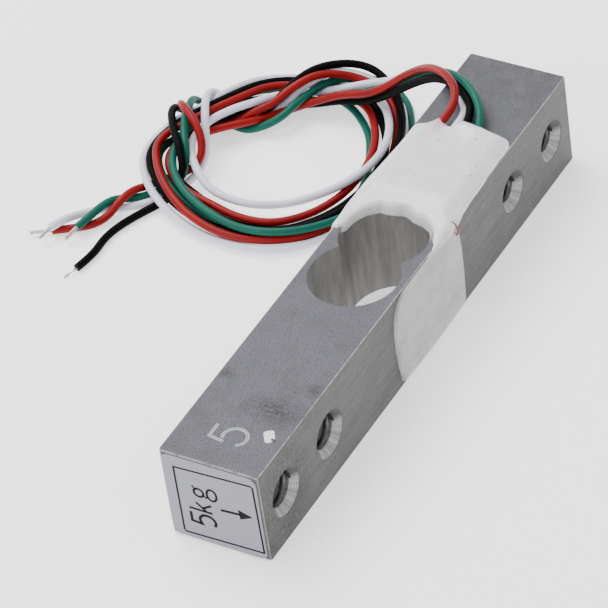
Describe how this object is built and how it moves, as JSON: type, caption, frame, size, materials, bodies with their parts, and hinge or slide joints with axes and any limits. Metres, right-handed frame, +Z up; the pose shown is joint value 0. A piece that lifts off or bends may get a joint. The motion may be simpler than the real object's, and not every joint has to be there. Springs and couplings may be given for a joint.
{
  "type": "single point load cell",
  "caption": "Square bar load cell with a double sensing hole, threaded fixing holes, a silicone coat and a coil of coloured lead wires.",
  "frame": {"origin": "centre of the bar's lower face, which lies on the surface", "axes": "+X along the bar towards the end where the wires leave, +Y across it along the threaded holes towards the coil, +Z up along the sensing hole"},
  "size_m": [0.0783, 0.0559, 0.017],
  "materials": {
    "beam": "milled and clear anodised, matt",
    "end_label": "silver-white polyester film",
    "paint_mark": "dab of white paint",
    "gauge_film": "amber polyimide film",
    "gauge_foil": "etched resistance foil",
    "solder": "bright solder",
    "enamelled_wire": "red enamelled copper",
    "board": "glass-fibre board",
    "board_strip": "bare copper",
    "lead_core": "tinned copper strands",
    "silicone": "soft white silicone",
    "wire_red": "PVC insulation",
    "wire_white": "PVC insulation",
    "wire_black": "PVC insulation",
    "wire_green": "PVC insulation",
    "wire_bundle": "four PVC insulated wires side by side"
  },
  "bodies": {
    "root": {"beam": "beam", "end_label": "end_label", "paint_mark": "paint_mark", "gauge_film_front_label_end": "gauge_film", "gauge_foil_front_label_end": "gauge_foil", "gauge_film_front_wire_end": "gauge_film", "gauge_foil_front_wire_end": "gauge_foil", "gauge_film_back_label_end": "gauge_film", "gauge_foil_back_label_end": "gauge_foil", "gauge_film_back_wire_end": "gauge_film", "gauge_foil_back_wire_end": "gauge_foil", "gauge_tab_solder": "solder", "gauge_jumper_front": "enamelled_wire", "gauge_wire_front_1": "enamelled_wire", "gauge_wire_front_2": "enamelled_wire", "gauge_wire_front_3": "enamelled_wire", "gauge_jumper_back": "enamelled_wire", "gauge_wire_back_1": "enamelled_wire", "gauge_wire_back_2": "enamelled_wire", "gauge_wire_back_3": "enamelled_wire", "terminal_board": "board", "board_strips": "board_strip", "board_solder": "solder", "lead_cores": "lead_core", "silicone_coat": "silicone", "lead_coil": "wire_bundle", "lead_red": "wire_red", "tail_red": "wire_red", "bare_end_red": "lead_core", "lead_white": "wire_white", "tail_white": "wire_white", "bare_end_white": "lead_core", "lead_black": "wire_black", "tail_black": "wire_black", "bare_end_black": "lead_core", "lead_green": "wire_green", "tail_green": "wire_green", "bare_end_green": "lead_core"}
  },
  "joints": []
}
